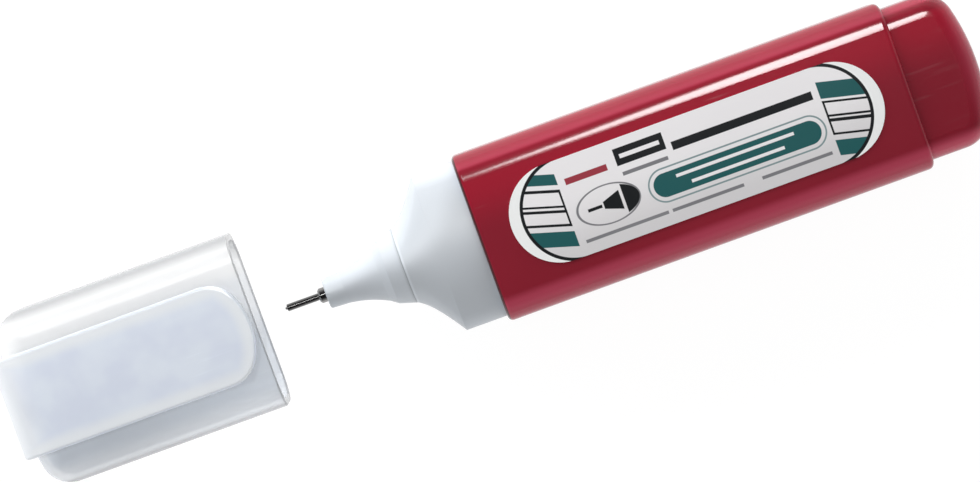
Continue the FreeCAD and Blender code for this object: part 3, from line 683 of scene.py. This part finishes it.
class PEN_OT_cap(bpy.types.Operator):
    """Finish the cap as a milky translucent moulding with a frosted clip, with painted light and
    shade
    """

    bl_idname = "pen.cap"
    bl_label = "Cap and clip"

    def execute(self, context):
        colours, look = context.scene.pen_colours, context.scene.pen_finish
        finish = Finish("milky cap moulding")
        x, y, z = finish.place()
        rim = finish.spread(x, CAP_MAX.x - RIM_DEEP, CAP_MAX.x - RIM_DEEP + RIM_FADE)
        side = finish.spread(abs(y), CAP_MAX.y - WALL_DEEP, CAP_MAX.y - WALL_DEEP / 2)
        end = finish.spread(x, CAP_MIN.x + END_DEEP, CAP_MIN.x + END_DEEP - END_FADE)
        clip = finish.spread(z, SHELL_TOP + CLIP_FROM, SHELL_TOP + CLIP_TO)
        shell = 1.0 - clip
        far = finish.spread(y, FAR_FROM, FAR_TO)
        high = finish.spread(z, SHELL_TOP - HIGH_FROM, SHELL_TOP - HIGH_TO)
        edge_end = CAP_MAX.y - EDGE_DEEP / 3
        far_edge = finish.spread(y, CAP_MAX.y - FAR_EDGE_DEEP, edge_end)
        edge = (finish.spread(abs(y), CAP_MAX.y - EDGE_DEEP, edge_end).at_least(far_edge) * shell
                * high.at_least(far * EDGE_LOW_MORE + EDGE_LOW)
                * (EDGE_GREY + far * FAR_EDGE_MORE))
        fine = finish.noise(1500.0, 3.0, 0.6, seed=31.0)
        slow = finish.noise(90.0, 2.0, 0.5, seed=32.0)
        marks = scuffs(finish, 0.14, 33.0)

        # Painted shade: the shell greys towards the near side
        near_shade = tuple(c * part for c, part in zip(colours.shell[:3], NEAR_SHADE)) + (1.0,)
        milky = finish.blend(far, near_shade, tuple(colours.shell))
        # Painted light: whiter on the near rounded side and in a band on the far side
        milky = finish.blend(side * (1.0 - far) * SIDE_WHITE, milky, WHITE)
        milky = finish.blend(finish.spread(y, FAR_WHITE_FROM, FAR_WHITE_TO) * FAR_WHITE, milky,
                             WHITE)
        tongue = clip_distance(x, y)
        # Painted shade: grey round the clip, along the outer lines, on the far rounded side and at
        # the mouth
        clip_shade = finish.spread(tongue, *GAP) * shell
        grey = (clip_shade * (GAP_GREY - far * GAP_LESS_FAR)).at_least(edge)
        grey = grey.at_least(side * far * FAR_SIDE_GREY).at_least(rim * shell * RIM_GREY)
        milky = finish.blend(grey, milky, shade(colours.shell, EDGE_TONE))
        frosted = frosted_clip(finish, colours.clip, tongue, far, x, z)

        wall = side.at_least(end).at_least(rim) * shell
        cover = (look.shell_cover + wall * WALL_COVER + edge * LINE_COVER
                 + rim * shell * LINE_COVER + clip * (look.clip_cover - look.shell_cover)
                 + marks * 0.05 + (slow - 0.5) * 0.04)
        shadow = Wire(finish, finish.node("ShaderNodeLightPath").outputs["Is Shadow Ray"])
        dress(finish.surface(
            Base_Color=finish.blend(clip, milky, frosted),
            Alpha=cover * (1.0 - shadow * shell * SHELL_SCATTER),
            Roughness=0.22 + clip * 0.16 + (fine - 0.5) * 0.08 + marks * 0.1,
            IOR=1.49, Coat_Weight=0.2, Coat_Roughness=0.1,
            Normal=finish.bump(slow * 0.05 + fine * 0.002 - marks * 0.002, 0.6)), "cap")
        dress(moulded("white sleeve", colours.inner, 0.40, 24.0), "inner_cap")
        dress(moulded("soft tip pad", colours.inner, 0.60, 25.0, 0.05), "tip_pad")
        return {"FINISHED"}


# Floor, light and camera, in metres

CAMERA_TARGET = Vector((-36.507, -0.999, 8.0)) * MM
CAMERA_TURN = tuple(math.radians(angle) for angle in (-3.1132, -0.4721, -19.9147))
CAMERA_DISTANCE = 480.72 * MM
CAMERA_LENS, CAMERA_SENSOR = 104.32, 36.0       # in millimetres
SIDE_PLACE, SIDE_SIZE = (-0.06, 0.145, 0.058), (0.5, 0.08)       # low on the far side
STRIP_ACROSS, STRIP_HEIGHT, STRIP_WIDTH = 0.195, 0.60, 0.240    # high, towards the far side
STRIPS = (("barrel strip", 0.09, 0.18, 1.0),    # name, place along X, length, share of power
          ("cap strip", -0.20, 0.08, 0.2))
FLOOR_DROP = 0.02 * MM   # keeps the floor just clear of the faces that lie on it
FLOOR_TONES = (0.88, 0.88, 0.88, 1.0), (0.90, 0.90, 0.90, 1.0)
FLOOR_GLOW, FLOOR_WHITENED = 1.10, 0.84         # its white, and how much of it covers shadows
CEILING = (              # what gloss shows of the room: its grey from level to overhead
    (0.0, (0.62, 0.62, 0.62, 1)), (0.3, (0.52, 0.52, 0.52, 1)),
    (0.62, (0.10, 0.10, 0.11, 1)), (0.85, (0.02, 0.02, 0.02, 1)))
NEAR_FILL = 2.8          # how much brighter the fill is from the near side


def area_light(name, place, size, power):
    """A rectangular light that faces the camera's target."""
    data = bpy.data.lights.new(name, "AREA")
    data.shape = "RECTANGLE"
    data.size, data.size_y = size
    data.energy = power
    lamp = bpy.data.objects.new(name, data)
    bpy.context.scene.collection.objects.link(lamp)
    lamp.location = place
    lamp.rotation_euler = (CAMERA_TARGET - lamp.location).to_track_quat("-Z", "Y").to_euler()
    return lamp


def in_view(finish):
    """1 for what the camera sees, and for what gloss and clear plastic show."""
    rays = finish.node("ShaderNodeLightPath").outputs
    seen = Wire(finish, rays["Is Camera Ray"])
    for name in ("Is Glossy Ray", "Is Transmission Ray"):
        seen = seen.at_least(Wire(finish, rays[name]))
    return seen


class WorldFinish(Finish):
    """The same node helper on the world."""

    def __init__(self, world):
        self.material = world
        world.use_nodes = True
        self.tree = world.node_tree
        self.tree.nodes.clear()


def floor_finish():
    """Pale paper that takes the object's shadow, whitened where it is seen."""
    finish = Finish("pale floor")
    grain = finish.noise(30.0, 2.0, 0.5)
    paper = finish.node("ShaderNodeBsdfDiffuse", None,
                        {"Color": finish.blend(grain, *FLOOR_TONES)})
    glow = finish.node("ShaderNodeEmission", None, {"Color": WHITE, "Strength": FLOOR_GLOW})
    mix = finish.node("ShaderNodeMixShader", None,
                      {0: in_view(finish) * FLOOR_WHITENED, 1: paper.outputs[0],
                       2: glow.outputs[0]})
    finish.node("ShaderNodeOutputMaterial", None, {"Surface": mix.outputs[0]})
    return finish.material


def soft_room(strength):
    """A world that fills from all round, more from the near side, and is white to the camera."""
    world = WorldFinish(bpy.data.worlds.new("soft room"))
    view = world.node("ShaderNodeTexCoord").outputs["Generated"]
    parts = world.node("ShaderNodeSeparateXYZ", None, {0: view}).outputs
    across, height = Wire(world, parts["Y"]), Wire(world, parts["Z"])
    ceiling = world.node("ShaderNodeValToRGB", {"stops": CEILING}, {0: height})
    rays = world.node("ShaderNodeLightPath").outputs
    shown = world.blend(Wire(world, rays["Is Camera Ray"]), ceiling.outputs[0], WHITE)
    fill = (1.0 + (across * -NEAR_FILL).at_least(0.0)) * strength
    lit = world.blend(in_view(world), fill.socket, shown)
    back = world.node("ShaderNodeBackground", None, {"Color": lit, "Strength": 1.0})
    world.node("ShaderNodeOutputWorld", None, {"Surface": back.outputs[0]})
    return world.material


def view_camera():
    """The camera at the photograph's angle."""
    lens = bpy.data.cameras.new("camera")
    lens.lens, lens.sensor_width, lens.sensor_fit = CAMERA_LENS, CAMERA_SENSOR, "HORIZONTAL"
    lens.clip_start, lens.clip_end = 0.01, 20.0
    camera = bpy.data.objects.new("camera", lens)
    bpy.context.scene.collection.objects.link(camera)
    turn = Euler(CAMERA_TURN, "XYZ")
    camera.rotation_euler = turn
    camera.location = CAMERA_TARGET + turn.to_matrix() @ Vector((0, 0, CAMERA_DISTANCE))
    return camera


class PEN_OT_stage(bpy.types.Operator):
    """Set the pale floor, the soft light and the camera"""

    bl_idname = "pen.stage"
    bl_label = "Stage"

    def execute(self, context):
        scene, stage = context.scene, context.scene.pen_stage
        bpy.ops.object.select_all(action="DESELECT")
        bpy.ops.mesh.primitive_plane_add(size=stage.floor_size, location=(0, 0, -FLOOR_DROP))
        floor = context.active_object
        floor.name = "floor"
        floor.data.materials.append(floor_finish())
        scene.world = soft_room(stage.fill_light)
        side_light = area_light("side light", SIDE_PLACE, SIDE_SIZE, stage.side_light)
        side_light.visible_glossy = side_light.visible_camera = False
        for name, along, long, share_of_power in STRIPS:
            strip = area_light(name, (along, STRIP_ACROSS, STRIP_HEIGHT), (long, STRIP_WIDTH),
                               stage.strip_light * share_of_power)
            strip.visible_diffuse = strip.visible_camera = False
        scene.camera = view_camera()
        scene.view_settings.view_transform = "Standard"
        return {"FINISHED"}


STEPS = (PEN_OT_barrel, PEN_OT_label, PEN_OT_nozzle, PEN_OT_tip, PEN_OT_inner_parts,
         PEN_OT_cap, PEN_OT_stage)


class PEN_PT_sidebar(bpy.types.Panel):
    """Lists the pen's steps and their settings"""

    bl_label = "Correction pen"
    bl_idname = "PEN_PT_sidebar"
    bl_space_type = "VIEW_3D"
    bl_region_type = "UI"
    bl_category = "Pen"

    def draw(self, context):
        for group, attribute in GROUPS.items():
            box = self.layout.box()
            for name in group.__annotations__:
                box.prop(getattr(context.scene, attribute), name)
        for step in STEPS:
            self.layout.operator(step.bl_idname)


GROUPS = {PenColours: "pen_colours", PenFinish: "pen_finish", PenStage: "pen_stage"}
CLASSES = (*GROUPS, *STEPS, PEN_PT_sidebar)


def register():
    for kind in CLASSES:
        bpy.utils.register_class(kind)
    for group, name in GROUPS.items():
        setattr(bpy.types.Scene, name, bpy.props.PointerProperty(type=group))


def unregister():
    for name in GROUPS.values():
        delattr(bpy.types.Scene, name)
    for kind in reversed(CLASSES):
        bpy.utils.unregister_class(kind)


def main():
    register()
    bpy.ops.pen.barrel()
    bpy.ops.pen.label()
    bpy.ops.pen.nozzle()
    bpy.ops.pen.tip()
    bpy.ops.pen.inner_parts()
    bpy.ops.pen.cap()
    bpy.ops.pen.stage()


if __name__ == "__main__":
    main()
